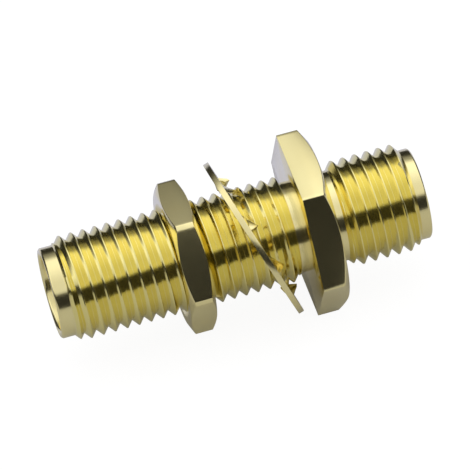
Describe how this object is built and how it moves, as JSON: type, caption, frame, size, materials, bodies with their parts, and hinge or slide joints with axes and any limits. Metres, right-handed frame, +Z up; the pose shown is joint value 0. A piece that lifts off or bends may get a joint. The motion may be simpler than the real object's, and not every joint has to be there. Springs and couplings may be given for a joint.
{
  "type": "coaxial bulkhead adapter",
  "caption": "Gold plated SMA bulkhead adapter, jack to jack: long threaded barrel, hex flange, short barrel, slotted socket contact in PTFE, panel nut and loose tooth washer.",
  "frame": {"origin": "on the axis, in the hex flange's face on the long barrel's side, which meets the panel", "axes": "+X along the axis towards the short barrel, +Z up as the part is shown, +Y towards its back"},
  "size_m": [0.022, 0.011, 0.0102],
  "materials": {
    "gold_plated_body": "polished",
    "gold_plated_nut": "polished",
    "gold_plated_washer": "satin",
    "gold_plated_contact": "polished",
    "insulator": "satin"
  },
  "bodies": {
    "connector": {"connector_body": "gold_plated_body", "long_side_insulator": "insulator", "short_side_insulator": "insulator", "centre_contact": "gold_plated_contact"},
    "washer": {"lock_washer": "gold_plated_washer"},
    "nut": {"hex_nut": "gold_plated_nut"}
  },
  "joints": [
    {"name": "washer_slide", "type": "slide", "parent": "connector", "child": "washer", "axis": [1, 0, 0], "range_m": [-0.00917, 0.00071]},
    {"name": "nut_turn", "type": "hinge", "parent": "washer", "child": "nut", "pos_m": [0, 0, 0], "axis": [1, 0, 0], "range_deg": [-4680, 360]}
  ],
  "couplings": [
    {"joint": "nut_turn", "follows": "washer_slide", "rad_per_m": 8905.3}
  ]
}
